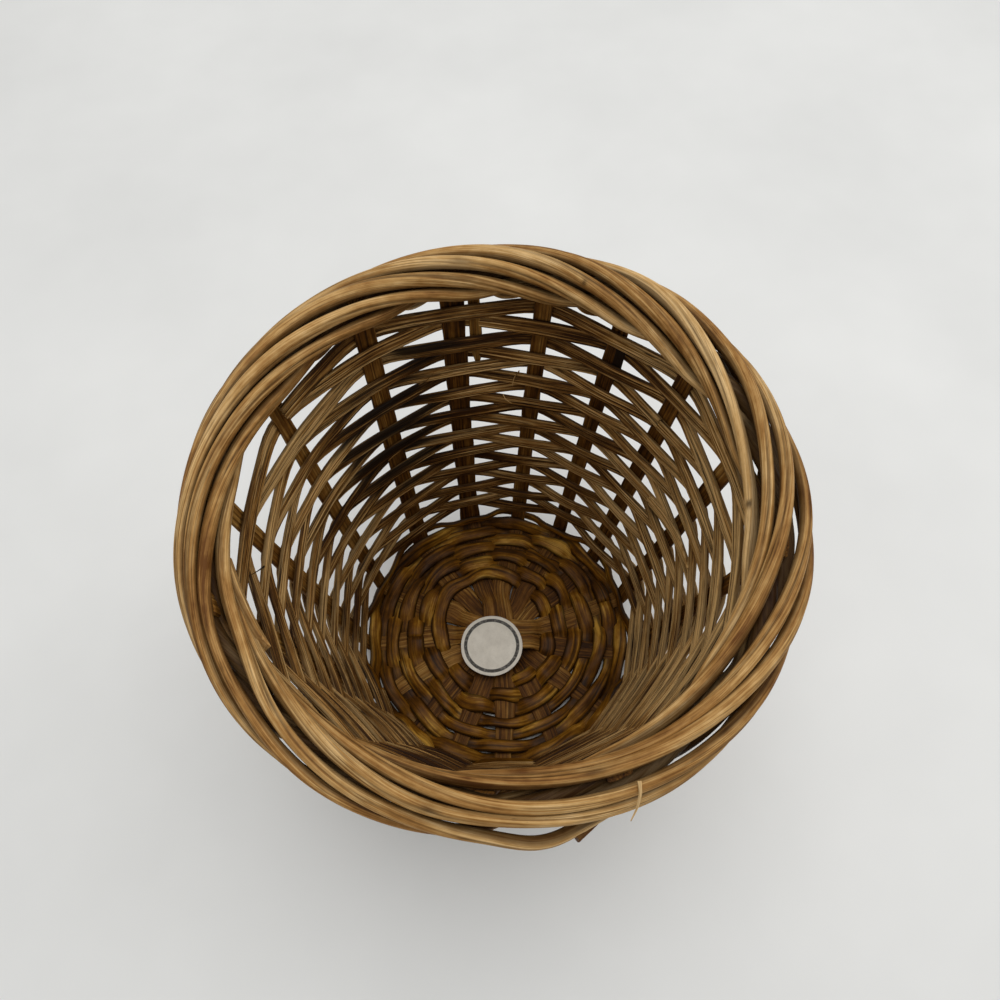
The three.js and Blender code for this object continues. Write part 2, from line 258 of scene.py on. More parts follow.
def turns_of(outline):
    return np.arctan2(outline[:, 1], outline[:, 0])


def groove_strength(rng, along, scale):
    """How deep one of a reed's grooves is along it, 0..1."""
    return np.clip(0.6 + wobble(rng, along, 0.6, scale), 0, 1)


def flat_section(rng, along, outline, width, thickness, grooves, depth, clean_lit=0.8, dirty_shaded=0.75):
    """A flat reed's section at each station, and how dark each point is painted, 0..1. Its width and
    thickness vary along it. Its lengthwise grooves, each a place across it and a breadth, wander. Grime
    lies in them;
    grime and painted shade darken its edges, outside a bare middle share."""
    half_width = width / 2 * (1 + wobble(rng, along, 0.06, 60) + wobble(rng, along, 0.02, 16))
    half_thick = thickness / 2 * (1 + wobble(rng, along, 0.07, 30))
    x = np.broadcast_to(outline[:, 0], (len(along), len(outline)))
    sunk = np.zeros(x.shape)
    for place, breadth in grooves:
        drift = place + wobble(rng, along, 0.13, 90)
        strength = groove_strength(rng, along, 60)
        sunk = np.maximum(sunk, hump(x, drift[:, None], breadth, strength[:, None]))
    u = half_width[:, None] * x
    v = half_thick[:, None] * outline[:, 1] - np.sign(outline[:, 1]) * depth * sunk
    return np.stack([u, v], axis=-1), np.maximum(sunk, dirty_shaded * smooth(np.abs(x), clean_lit, 1.0))


def round_section(rng, along, outline, radius, uneven, grooves):
    """A round rod's section and how dark each point is painted: a little oval, with low ridges that turn
    slowly along it, a few grooves with grime, and painted shade with some grime on the side turned to the
    inside of the roll."""
    turn = turns_of(outline)
    scale = np.ones((len(along), len(outline)))
    for lobes, size in ROD_LOBES:
        twist = rng.uniform(0, TAU) + wobble(rng, along, 0.8, 90)
        scale += uneven * size * np.cos(lobes * turn + twist[:, None])
    sunk = np.zeros(scale.shape)
    for place, breadth in grooves:
        drift = place + wobble(rng, along, 0.22, 100)
        strength = groove_strength(rng, along, 90)
        off = (turn - drift[:, None] + math.pi) % TAU - math.pi
        sunk = np.maximum(sunk, hump(off, 0, breadth, strength[:, None]))
    section = (radius[:, None] * (scale - ROD_GROOVE_DEPTH * sunk))[..., None] * outline
    return section, np.maximum(sunk, ROD_INNER_SHADE_AND_DIRT * smooth(np.abs(turn), *SHADED_DIRTY_TURNS))


def sweep(path, across, section):
    """Rings of points round a path, with the mouth's oval put on last."""
    along = unit(np.gradient(path, axis=0))
    normal = unit(np.cross(along, across))
    side = np.cross(normal, along)
    rings = path[:, None] + section[..., :1] * side[:, None] + section[..., 1:] * normal[:, None]
    rings[..., 1] *= 1 + MOUTH_OVAL * rings[..., 2] / RIM_HEIGHT
    return rings


def tilt(path, across, angle):
    """The across direction, turned round the path by an angle in degrees."""
    along = unit(np.gradient(path, axis=0))
    normal = unit(np.cross(along, across))
    turn = np.radians(angle)[:, None]
    return np.cos(turn) * unit(np.cross(normal, along)) + np.sin(turn) * normal


# Meshes. The attribute reed holds each point's place on the straightened reed (along, across, through)
# in millimetres, for the grain; the attribute for wear and painted light holds its tone, with painted light
# and shade on the wall, its stain, and its darkening by grime in grooves and by painted shade on edges,
# under strips and in the roll, each about 0..1.

def tube_faces(stations, count):
    """Corner numbers of the quads of a tube, then of its two ends."""
    ring = np.arange(count)
    here = (np.arange(stations - 1)[:, None] * count + ring).ravel()
    ahead = (np.arange(stations - 1)[:, None] * count + (ring + 1) % count).ravel()
    quads = np.stack([here, ahead, ahead + count, here + count], axis=-1)
    last = (stations - 1) * count
    return quads.tolist() + [ring[::-1].tolist(), (last + ring).tolist()]


def add_object(name, points, faces, reed, wear_and_painted_light, material, flat_faces=0):
    """A piece of the basket. Its last faces, as many as flat_faces says, are shaded flat."""
    mesh = bpy.data.meshes.new(name)
    mesh.from_pydata((points * MM).tolist(), [], faces)
    for key, values in (("reed", reed), ("wear_and_painted_light", wear_and_painted_light)):
        layer = mesh.attributes.new(key, "FLOAT_VECTOR", "POINT")
        layer.data.foreach_set("vector", np.asarray(values, np.float32).ravel())
    shading = np.ones(len(mesh.polygons), bool)
    if flat_faces:
        shading[-flat_faces:] = False
    mesh.polygons.foreach_set("use_smooth", shading)
    mesh.materials.append(material)
    mesh.update()
    piece = bpy.data.objects.new(name, mesh)
    bpy.context.scene.collection.objects.link(piece)
    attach(piece, "root")
    return piece


def add_reed(name, path, across, section, wear_and_painted_light, material, grain, number):
    """One closed reed. Its number sets its grain off from that of other reeds."""
    start = grain[0] + grain[1] * number
    rings = sweep(path, across, section)
    stations, count = section.shape[:2]
    along = np.broadcast_to((length_along(path) + start)[:, None], (stations, count))
    reed = np.concatenate([along[..., None], section], axis=-1)
    points, reed, wear_and_painted_light = (values.reshape(-1, 3) for values in (rings, reed, wear_and_painted_light))
    return add_object(name, points, tube_faces(stations, count), reed, wear_and_painted_light, material, flat_faces=2)


def wear_and_painted_light_of(tone, stain, groove_and_shade):
    return np.stack(np.broadcast_arrays(tone, stain, groove_and_shade), axis=-1)


# Materials. Shades are the red, green and blue that a screen shows, 0..255.

SHADE_PLACES = (0.12, 0.4, 0.62, 0.9)  # of a cane's four shades, from dark to light
STAIN_SHADE = (22, 14, 8)
CANE_SPECULAR = 0.1
CLOUD_PLACES = (0.3, 0.7)  # of the two shades of paper and floor, and of how dull they are
PAPER_SHADES = ((204, 197, 183), (228, 222, 209))
PAPER_FIBRE_SHADE = (140, 130, 112)
RING_SHADE = (42, 39, 35)
RING_INNER = (10.9, 11.2)  # radii over which the ring on the label begins
RING_OUTER = (12.4, 12.7)  # radii over which it ends
FLOOR_SHADES = ((216, 217, 216), (226, 227, 226))


def colour(red, green, blue):
    """A linear colour from the values that a screen shows."""
    def linear(value):
        value /= 255
        return value / 12.92 if value <= 0.04045 else ((value + 0.055) / 1.055) ** 2.4
    return (linear(red), linear(green), linear(blue), 1.0)


class Shading:
    """A material's nodes: add() makes one, with its inputs linked to sockets or set to values."""

    def __init__(self, name):
        self.material = bpy.data.materials.new(name)
        self.material.use_nodes = True
        self.tree = self.material.node_tree
        self.tree.nodes.clear()

    def add(self, kind, inputs=None, **settings):
        node = self.tree.nodes.new("ShaderNode" + kind)
        for key, value in settings.items():
            setattr(node, key, value)
        for key, value in (inputs or {}).items():
            socket = node.inputs[key]
            if isinstance(value, bpy.types.NodeSocket):
                self.tree.links.new(value, socket)
            else:
                socket.default_value = value
        return node

    def attribute(self, name):
        return self.add("Attribute", attribute_name=name).outputs["Vector"]

    def math(self, operation, first, second=0.0):
        return self.add("Math", {0: first, 1: second}, operation=operation).outputs[0]

    def noise(self, place, scale, detail=3.0, roughness=0.55):
        """Noise over a place, with its own scale along each axis."""
        scaled = self.add("VectorMath", {0: place, 1: scale}, operation="MULTIPLY").outputs[0]
        inputs = {"Vector": scaled, "Scale": 1.0, "Detail": detail, "Roughness": roughness}
        return self.add("TexNoise", inputs).outputs["Fac"]

    def range(self, value, low, high, to_low=0.0, to_high=1.0):
        inputs = {"Value": value, "From Min": low, "From Max": high, "To Min": to_low, "To Max": to_high}
        return self.add("MapRange", inputs, interpolation_type="SMOOTHSTEP").outputs["Result"]

    def ramp(self, value, places, shades):
        node = self.add("ValToRGB", {"Fac": value})
        ramp = node.color_ramp
        while len(ramp.elements) < len(places):
            ramp.elements.new(0.5)
        for element, place, shade in zip(ramp.elements, places, shades):
            element.position = place
            element.color = colour(*shade)
        return node.outputs["Color"]

    def paint(self, share, base, shade):
        """The base with a share of a shade over it."""
        return self.add("Mix", {0: share, 6: base, 7: colour(*shade)}, data_type="RGBA").outputs[2]

    def blend_about_half(self, *terms):
        """0.5 and the given shares of how far each value lies from 0.5."""
        total = 0.5 - sum(share for _, share in terms) / 2
        for value, share in terms:
            total = self.add("Math", {0: value, 1: share, 2: total}, operation="MULTIPLY_ADD").outputs[0]
        return total

    def bump(self, height, strength, distance):
        inputs = {"Height": height, "Strength": strength, "Distance": distance}
        return self.add("Bump", inputs).outputs[0]

    def finish(self, **inputs):
        """The material, with the inputs of its shader in words joined by underscores."""
        inputs = {key.replace("_", " "): value for key, value in inputs.items()}
        shader = self.add("BsdfPrincipled", inputs)
        self.add("OutputMaterial", {"Surface": shader.outputs[0]})
        return self.material


def cane_material(name, shades, dirt_and_shade, rough, fibre, contrast, cracked, mottled):
    """Split or peeled cane: long fibres and streaks in the given shades; thin dark cracks, pores, grime in
    the grooves and painted shade on edges, under strips and in the roll, all in the one dark shade; black
    stains. fibre is the width of its fibres in millimetres; contrast is that of its streaks, cracked how
    dark its cracks are and mottled how blotchy it is."""
    s = Shading(name)
    place = s.attribute("reed")
    wear_and_painted_light = s.add("SeparateXYZ", {0: s.attribute("wear_and_painted_light")})
    tone, stain, groove_and_shade = wear_and_painted_light.outputs
    across = 1 / fibre
    fibres = s.noise(place, (0.022, across, across), 4.0, 0.6)
    fine = s.noise(place, (0.07, 2.4 * across, 2.4 * across))
    patches = s.noise(place, (0.04, 0.16, 0.16))
    mottle = s.noise(place, (0.2, 0.45, 0.45))
    value = s.blend_about_half(
        (fibres, 1.6 * contrast), (fine, 0.9 * contrast), (patches, 1.0), (mottle, mottled), (tone, 0.5))
    base = s.ramp(value, SHADE_PLACES, shades)
    veins = s.noise(place, (0.013, 0.9 * across, 0.9 * across), 1.0)
    lines = s.math("ABSOLUTE", s.math("SUBTRACT", veins, 0.5))
    cracks = s.range(lines, 0.012, 0.05, cracked, 0.0)
    cracks = s.math("MULTIPLY", cracks, s.range(patches, 0.4, 0.56))
    base = s.paint(cracks, base, dirt_and_shade)
    pores = s.range(s.noise(place, (0.35, 4.5, 4.5), 2.0), 0.64, 0.72, 0.0, 0.7 * cracked)
    base = s.paint(pores, base, dirt_and_shade)
    # Painted shade: the third wear value darkens grooves with grime, and edges, passes under strips and the
    # roll's hollow with painted shade
    base = s.paint(s.math("MULTIPLY", groove_and_shade, 0.9), base, dirt_and_shade)
    blotch = s.noise(place, (0.05, 0.8, 0.8))
    black = s.range(s.math("ADD", stain, s.math("MULTIPLY", blotch, 0.7)), 0.62, 0.95, 0.0, 0.95)
    base = s.paint(black, base, STAIN_SHADE)
    dull = s.math("ADD", s.math("MULTIPLY", fine, 0.4), rough - 0.2)
    relief = s.math("ADD", fibres, s.math("MULTIPLY", fine, 0.6))
    bump = s.bump(relief, 0.6 * contrast, 0.4 * MM)
    return s.finish(Base_Color=base, Roughness=dull, Normal=bump, Specular_IOR_Level=CANE_SPECULAR)


def paper_material(name):
    """Worn off-white paper with a plain printed ring, thumbed grey."""
    s = Shading(name)
    place = s.attribute("reed")
    flat = s.add("VectorMath", {0: place, 1: (1, 1, 0)}, operation="MULTIPLY").outputs[0]
    distance = s.add("VectorMath", {0: flat}, operation="LENGTH").outputs["Value"]
    fibres = s.noise(place, (2.2, 2.2, 2.2), 4.0, 0.65)
    smudge = s.noise(place, (0.16, 0.16, 0.16), 4.0, 0.6)
    base = s.ramp(smudge, CLOUD_PLACES, PAPER_SHADES)
    base = s.paint(s.range(fibres, 0.55, 0.75, 0.0, 0.3), base, PAPER_FIBRE_SHADE)
    ring = s.math("SUBTRACT", s.range(distance, *RING_INNER), s.range(distance, *RING_OUTER))
    worn = s.range(s.noise(place, (0.9, 0.9, 0.9), 4.0), 0.36, 0.52, 0.8, 0.97)
    base = s.paint(s.math("MULTIPLY", ring, worn), base, RING_SHADE)
    bump = s.bump(fibres, 0.35, 0.1 * MM)
    return s.finish(Base_Color=base, Roughness=s.range(smudge, *CLOUD_PLACES, 0.6, 0.8), Normal=bump)


def floor_material(name):
    """Plain pale floor with faint clouds."""
    s = Shading(name)
    place = s.add("NewGeometry").outputs["Position"]
    clouds = s.noise(place, (5, 5, 5), 4.0, 0.6)
    base = s.ramp(clouds, CLOUD_PLACES, FLOOR_SHADES)
    return s.finish(Base_Color=base, Roughness=s.range(clouds, *CLOUD_PLACES, 0.4, 0.5))


RIM_CANE = cane_material(
    "rim_cane", [(92, 56, 20), (149, 108, 57), (180, 142, 88), (214, 179, 126)], dirt_and_shade=(34, 17, 5),
    rough=0.55, fibre=0.6, contrast=0.62, cracked=0.45, mottled=0.45)
SIDE_REED = cane_material(
    "side_reed", [(58, 32, 9), (122, 83, 37), (164, 121, 64), (214, 174, 114)], dirt_and_shade=(28, 14, 4),
    rough=0.6, fibre=0.7, contrast=1.5, cracked=0.9, mottled=0.3)
STAKE_CANE = cane_material(
    "stake_cane", [(46, 24, 5), (92, 56, 16), (128, 87, 35), (170, 129, 67)], dirt_and_shade=(22, 10, 3),
    rough=0.6, fibre=0.8, contrast=0.7, cracked=0.5, mottled=0.4)
BASE_REED = cane_material(
    "base_reed", [(44, 22, 2), (90, 54, 9), (126, 82, 18), (190, 143, 58)], dirt_and_shade=(20, 9, 1),
    rough=0.44, fibre=1.0, contrast=0.45, cracked=0.3, mottled=0.55)
LABEL_PAPER = paper_material("label_paper")


# Strips that cross in the base and stand up as stakes

STRIP_OUTLINE = flat_outline(21, 3.6)
STRIP_STEP = 1.7  # between stations
STRIP_GROOVES = [(-0.55, 0.1), (0.1, 0.1), (0.6, 0.1)]
STRIP_GROOVE_DEPTH = 0.14
WALL_THICKNESS = 1.9  # of the stakes and of the reeds woven between them
CROSSING_WIDTH = (7.2, 10.2)  # in the middle, and where the strips have fanned out
FAN_FILL = 0.43  # width for each millimetre of radius, between those two
FAN_START = 6  # radius from which the strips bend apart
FAN_BEND = 24  # radius at which they head for their stakes, apart from the late ones
LATE_FANS = {2: 36, 3: 60, 4: 84, 5: 104, 6: 127, 7: 150}  # stakes of those, and their azimuths there
LATE_FAN_END = 33
LEVEL_RADII = (14.5, 20.5)  # over which the strips come down or up to one level
LIGHT_TOPS = {1: 0.6}  # stakes with a paler top, and by how much
LIGHT_TOP_HEIGHTS = (108, 120)  # over which it gets paler


def arm(heading, offset, stake, layer):
    """Points of one arm of a strip from the crossing outwards, the directions across it, and its width,
    tone and thickness."""
    fan_end = LATE_FAN_END if stake in LATE_FANS else FAN_END
    fan = np.linspace(FAN_START, fan_end, 26)
    straight = heading + np.degrees(np.arcsin(offset / fan))
    bent = stake_azimuth(stake, fan, 0)
    bent = bent + (LATE_FANS.get(stake, bent) - bent) * (1 - smooth(fan, FAN_BEND, LATE_FAN_END))
    fan_azimuth = straight + angle_off(bent, straight) * smooth(fan, FAN_START, FAN_BEND)
    fan_height = layer + (BASE_MIDDLE - layer) * smooth(fan, *LEVEL_RADII)
    flat = np.linspace(fan_end, BEND_START, 16)[1:]
    turn = np.linspace(0, BEND_TURN, 12)[1:]
    rise = np.linspace(WALL_START, STAKE_TOP, 60)[1:]
    bend_height = BASE_MIDDLE + BEND_RADIUS * (1 - np.cos(turn))
    radius = np.concatenate([fan, flat, BEND_START + BEND_RADIUS * np.sin(turn), wall_radius(rise)])
    height = np.concatenate([fan_height, np.full(len(flat), BASE_MIDDLE), bend_height, rise])
    azimuth = stake_azimuth(stake, radius, height)
    azimuth[:len(fan)] = fan_azimuth
    filled = np.clip(FAN_FILL * radius, *CROSSING_WIDTH)
    width = filled + (STAKE_WIDTH[stake] - filled) * smooth(radius, fan_end, BEND_START)
    share = smooth(radius, CROSSING_RADIUS, fan_end)
    tone = CROSSING_TONE[stake] * (1 - share) + STAKE_TONE[stake] * share
    tone = tone + LIGHT_TOPS.get(stake, 0) * smooth(height, *LIGHT_TOP_HEIGHTS)
    thicker = (WALL_THICKNESS - STRIP_THICKNESS) * smooth(height, WALL_START, 2 * WALL_START)
    look = np.stack([width, tone, STRIP_THICKNESS + thicker], axis=-1)
    return polar(radius, azimuth, height), polar(1, azimuth + 90, 0), look


def add_strips():
    half_way = (STAKES - 1) // 2
    number = 1
    for pair in range(STRIP_PAIRS):
        rank = (pair % 2) * math.ceil(STRIP_PAIRS / 2) + pair // 2
        layer = STRIP_THICKNESS / 2 + (STRIP_PAIRS - 1 - rank) * LAYER_STEP
        near_middle = (2 * pair + 0.5) * STAKE_SPACE
        far_middle = (2 * pair + half_way + 0.5) * STAKE_SPACE - 180
        heading = FIRST_STAKE + (near_middle + far_middle) / 2
        for side in (-1, 1):
            rng = np.random.default_rng(STRIP_SEED + number)
            is_half = pair == STRIP_PAIRS - 1 and side > 0
            near_stake = 2 * pair + (side > 0)
            far_stake = 2 * pair + half_way + (side < 0)
            near, near_across, near_look = arm(heading, side * PAIR_OFFSET, near_stake, layer)
            far, far_across, far_look = arm(heading + 180, -side * PAIR_OFFSET, far_stake, layer)
            keep = slice(0, 1) if is_half else slice(None, None, -1)
            path = np.concatenate([near[keep], far])
            across = np.concatenate([-near_across[keep], far_across])
            look = np.concatenate([near_look[keep], far_look])
            path, across, look = resample(STRIP_STEP, path, across, look)
            along = length_along(path)
            width, tone, thickness = look.T
            section, dirt_and_shade = flat_section(
                rng, along, STRIP_OUTLINE, width, thickness, STRIP_GROOVES, STRIP_GROOVE_DEPTH)
            tone = tone + 0.1 * rng.standard_normal() + wobble(rng, along, 0.1, 120)
            wear_and_painted_light = wear_and_painted_light_of(tone[:, None], 0, 0.5 * dirt_and_shade)
            name = "half_strip" if is_half else f"base_strip_{number}"
            piece = add_reed(
                "dressed_" + name, path, across, section, wear_and_painted_light, STAKE_CANE, STRIP_GRAIN, number)
            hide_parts(name)
            number += 1


# Reed woven in the base

STEPS_PER_SPACE = 9  # stations of a woven reed between two stakes
BASE_OUTLINE = flat_outline(12, 2.1)
BASE_THICKNESS = 2.4  # greater than the solid's, because the reed is rounder
BASE_FILL = 1.3  # its width as a share of the space between rounds
BASE_WIDTHS = (4.6, 8.2)  # least and greatest
BASE_END = (0.45, 12, 6)  # share by which its end is narrower, and the last passes over which it gets so
BASE_TILT = (9.5, 4.5)  # degrees level with the strips, and how many more above them or fewer below
BASE_GROOVES = [(0.2, 0.16)]
BASE_GROOVE_DEPTH = 0.15
# How much of the half width stays bare, and how dark the edges are painted: painted shade between reeds,
# with grime
BASE_CLEAN_LIT = 0.52
BASE_DIRTY_SHADED = 1.0
BASE_SQUARENESS = 2.2  # how steeply the reed goes from above a strip to below the next one
EARLY_PASSES = 3  # of the first length, on the crossing
FIRST_FLOAT = (3.4, 8.6)  # passes between which it lies over all strips
UNEVEN_ROUNDS = ((3, 0.7), (7, 3.5))  # waves in a round, and phase
UNEVENNESS = 0.4
DRAWN_IN = 2.0  # of the first passes
DRAWN_PASSES = (0, 45)
OFF_MIDDLE = (2.8, 1.9)  # of the first rounds, as a shift and as an oval
OFF_AXIS = 1.92  # towards which they lie, in radians
OFF_PASSES = (8, 85)


def base_wander(passes):
    """How far out the reed lies beyond an even spiral: its first rounds are drawn in and off the middle."""
    azimuth = np.radians(FIRST_STAKE + passes * STAKE_SPACE)
    uneven = sum(UNEVENNESS * np.sin(waves * azimuth + phase) for waves, phase in UNEVEN_ROUNDS)
    shift, oval = OFF_MIDDLE
    off_middle = shift * np.cos(azimuth - OFF_AXIS) + oval * np.cos(2 * (azimuth - OFF_AXIS))
    drawn_in = DRAWN_IN * (1 - smooth(passes, *DRAWN_PASSES))
    return uneven - drawn_in + off_middle * (1 - smooth(passes, *OFF_PASSES))


def base_path(passes, rng):
    """Points of the base reed at the given passes, the directions across it, and its place above the
    strips, -1..1."""
    reach = FIRST_ROUND + ROUND_PITCH * passes / STAKES
    along = np.radians(passes * STAKE_SPACE) * reach.mean()
    reach = reach + base_wander(passes) + wobble(rng, along, 0.4, 24)
    turn = np.clip((reach - BEND_START) / BEND_RADIUS, 0, BEND_TURN)
    rise = np.maximum(reach - BEND_END, 0)
    flat = np.minimum(reach, BEND_START) + BEND_RADIUS * np.sin(turn) + rise * np.cos(turn)
    climb = BEND_RADIUS * (1 - np.cos(turn)) + rise * np.sin(turn)
    azimuth = stake_azimuth(passes, flat, climb)
    half = BASE_WEAVER_WIDTH / 2
    bridged = smooth(reach, BEND_START - half, BEND_START + half)
    bridged = bridged - smooth(reach, BEND_END - half, BEND_END + half)
    side = np.tanh(BASE_SQUARENESS * np.cos(math.pi * passes)) / math.tanh(BASE_SQUARENESS)
    side = np.where((passes > FIRST_FLOAT[0]) & (passes < FIRST_FLOAT[1]), 1.0, side)
    lift = BRIDGED_RISE * bridged + wobble(rng, along, 0.35, 17)
    swing = BASE_SWING * side + np.maximum(side, 0) * lift
    height = np.maximum(BASE_MIDDLE + climb + swing * np.cos(turn), BASE_THICKNESS / 2 + CLEARANCE)
    path = polar(flat - swing * np.sin(turn), azimuth, height)
    across = np.cos(turn)[:, None] * polar(1, azimuth, 0) + np.sin(turn)[:, None] * UP
    return path, across, side


def add_base_weavers():
    for i in range(BASE_WEAVERS):
        rng = np.random.default_rng(BASE_SEED + i)
        first = round(BASE_PASSES * i / BASE_WEAVERS) - EARLY_PASSES * (i == 0)
        last = round(BASE_PASSES * (i + 1) / BASE_WEAVERS)
        places = np.linspace(first, last, (last - first) * STEPS_PER_SPACE + 1)
        path, across, side = base_path(places, rng)
        along = length_along(path)
        across = tilt(path, across, wobble(rng, along, BASE_TILT[0] + BASE_TILT[1] * side, 25))
        pitch = ROUND_PITCH + base_wander(places + STAKES / 2) - base_wander(places - STAKES / 2)
        width = np.clip(BASE_FILL * pitch, *BASE_WIDTHS) * (1 + wobble(rng, along, 0.12, 26))
        narrower, start, stop = BASE_END
        width = width * (1 - narrower * smooth(places, BASE_PASSES - start, BASE_PASSES - stop))
        section, dirt_and_shade = flat_section(
            rng, along, BASE_OUTLINE, width, BASE_THICKNESS, BASE_GROOVES, BASE_GROOVE_DEPTH,
            BASE_CLEAN_LIT, BASE_DIRTY_SHADED)
        # Painted shade: darker where the reed passes under a strip and just beside it
        dirt_and_shade = np.maximum(dirt_and_shade, 0.6 * smooth(-side, 0.75, 1.0)[:, None])
        tone = 0.5 + wobble(rng, along, 0.3, 40)
        wear_and_painted_light = wear_and_painted_light_of(tone[:, None], 0, dirt_and_shade)
        piece = add_reed(
            f"dressed_base_weaver_{i + 1}", path, across, section, wear_and_painted_light, BASE_REED, BASE_GRAIN, i)
        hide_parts(f"base_weaver_{i + 1}")


# Reed woven up the side

SIDE_OUTLINE = flat_outline(21, 4.0)
SIDE_TILT = 5
SIDE_GROOVES = [(-0.5, 0.1), (0.04, 0.12), (0.5, 0.1)]
SIDE_GROOVE_DEPTH = 0.3
WALL_SWING = 2.5  # of the reeds to either side of the stakes, which are loose there
FIRST_LIFT = 2.2  # of the first rows, off the edge of the base
LIFT_PASSES = ((0, 7), (10, 50))  # over which they rise, and settle
FLAT_SHARE = 0.13  # of a stake's space, over which a reed lies flat to either side of it
TOP_HEIGHTS = (100, 118)  # over which the reeds come to look as in the top rows
RIGHT = -15  # azimuth at which the wall is painted lightest
STAINS = [  # azimuth, height, half spans of both, strength
    (124, 80, 25, 44, 0.8),
    (108, 112, 16, 9, 0.7),
    (62, 108, 8, 8, 0.4),
    (150, 50, 16, 25, 0.4),
]


def stain_at(azimuth, height):
    """How stained the wall is at a place, 0..1."""
    total = np.zeros(np.broadcast(azimuth, height).shape)
    for centre, level, span, rise, strength in STAINS:
        away = (angle_off(azimuth, centre) / span) ** 2 + ((height - level) / rise) ** 2
        total = np.maximum(total, strength * np.exp(-away))
    return total


def row_level(passes):
    """Height of the middle of the side reed after so many passes."""
    done = passes - BASE_PASSES
    rising, settling = LIFT_PASSES
    even = FIRST_ROW + ROW_PITCH * done / STAKES
    even = even + FIRST_LIFT * smooth(done, *rising) * (1 - smooth(done, *settling))
    spread = smooth(even, LAST_EVEN_ROW - SPREAD_ROWS * ROW_PITCH, LAST_EVEN_ROW - ROW_PITCH)
    return even + TOP_SPREAD * spread


def side_path(passes, rng):
    """Points of the side reed at the given passes, the directions across it, its azimuths and its levels.
    It lies flat on each stake and runs straight to the next one."""
    stops = np.arange(math.floor(passes[0]), math.ceil(passes[-1]) + 1)
    corners = np.sort(np.concatenate([stops - FLAT_SHARE, stops + FLAT_SHARE]))
    level = row_level(corners)
    along = np.radians(corners * STAKE_SPACE) * wall_radius(level)
    level = level + wobble(rng, along, 0.3, 75) + np.repeat(rng.normal(0, 0.3, len(stops)), 2)
    inwards = WALL_SWING * (1 + wobble(rng, along, 0.1, 60)) * np.cos(math.pi * np.round(corners))
    azimuth = stake_azimuth(corners, wall_radius(level), level)
    path = between(passes, corners, on_wall(azimuth, level, inwards))
    soften(path, 3)
    level = row_level(passes)
    azimuth = stake_azimuth(passes, wall_radius(level), level)
    return path, up_wall(azimuth), azimuth, level


def side_look(azimuth, level):
    """How wide the side reed is at a place, and its painted light (right and left) less its painted shade
    (front, back).
    """
    right = np.cos(np.radians(azimuth - RIGHT))
    back = np.sin(np.radians(azimuth))
    front = smooth(-back, 0.75, 0.95)
    top = smooth(level, *TOP_HEIGHTS)
    broader = 0.75 + 0.6 * smooth(-right, 0, 1) + 0.25 * smooth(back, 0.6, 1) - 1.65 * front
    painted_lighting = 0.6 * smooth(right, 0.2, 1) + 0.2 * smooth(-right, 0.3, 1)
    painted_shade = (0.5 + 0.6 * top) * front + 0.15 * smooth(back, 0.5, 1)
    return SIDE_WEAVER_WIDTH + 0.2 * right + broader * top, painted_lighting - painted_shade


def add_side_weavers():
    for i in range(SIDE_WEAVERS):
        rng = np.random.default_rng(SIDE_SEED + i)
        first = BASE_PASSES + round(SIDE_PASSES * i / SIDE_WEAVERS)
        last = BASE_PASSES + round(SIDE_PASSES * (i + 1) / SIDE_WEAVERS)
        places = np.linspace(first, last, (last - first) * STEPS_PER_SPACE + 1)
        path, across, azimuth, level = side_path(places, rng)
        along = length_along(path)
        across = tilt(path, across, wobble(rng, along, SIDE_TILT, 90))
        width, painted_lighting = side_look(azimuth, level)
        section, dirt_and_shade = flat_section(
            rng, along, SIDE_OUTLINE, width, WALL_THICKNESS, SIDE_GROOVES, SIDE_GROOVE_DEPTH)
        # Painted light and shade: the tone is raised on the sides of the wall and lowered at the front and
        # back
        tone = 0.55 + wobble(rng, along, 0.3, 160) + wobble(rng, along, 0.2, 50) + painted_lighting
        inside = SIDE_OUTLINE[:, 1] < 0
        upper = 0.6 + 0.4 * smooth(SIDE_OUTLINE[:, 0], -0.6, 0.6)
        stain = stain_at(azimuth, level)[:, None] * np.where(inside, upper, 0.4)
        wear_and_painted_light = wear_and_painted_light_of(tone[:, None], stain, dirt_and_shade)
        piece = add_reed(
            f"dressed_side_weaver_{i + 1}", path, across, section, wear_and_painted_light, SIDE_REED, SIDE_GRAIN, i)
        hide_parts(f"side_weaver_{i + 1}")


# Rods rolled over the top

ROD_OUTLINE = round_outline(28)
ROD_TURNS = turns_of(ROD_OUTLINE)
ROD_STATIONS = 420
ROD_SIZES = (0.95, 1.08)  # least and greatest share of the diameter
ROD_THINNING = (-0.1, 0.22)  # least and greatest share by which a rod gets thinner on its way
ROD_TAIL = (0.35, 25)  # share by which its end is thinner, and the length over which it gets so
ROD_UNEVEN = 0.035
ROD_GROOVE_TURNS = (-0.75, 0.75)  # round the rod, between which it has grooves
ROD_GROOVE_BREADTH = 0.15
ROD_LIFT = 0.3  # of the rods outwards from the solids
HIDDEN_TRAVEL = 44  # of each rod's foot, along the middle of the roll
FOOT_EASE = (-8, 21)  # travels between which a rod comes out of the middle
FOOT_SETTLED = 8  # travel before the start by which a foot lies settled in the middle
FOOT_SWELL = 0.25
FOOT_SHADE_AND_DIRT = (0.95, -5, 1)  # how dark feet are painted, as painted shade in the roll's hollow with some grime, and the travels before the start over which they get so
CORE_OFFSET = 2.0  # of the hidden feet from the middle of the roll, which lie two and two
SLIM_ROLL = (235, 105, 0.2)  # azimuth, half span and share by which the roll is slimmer there
SLIM_SHIFT = 0.8  # of the slimmer roll outwards, as a share of what it has lost
SLIM_ROD = 0.4  # how much slimmer rods are there, as a share of that
LOOSE_ROD = 0.18  # share by which rods are slimmer where they are loose
PAIRING = 5  # turn by which rods lie towards a neighbour, two and two, where they are loose
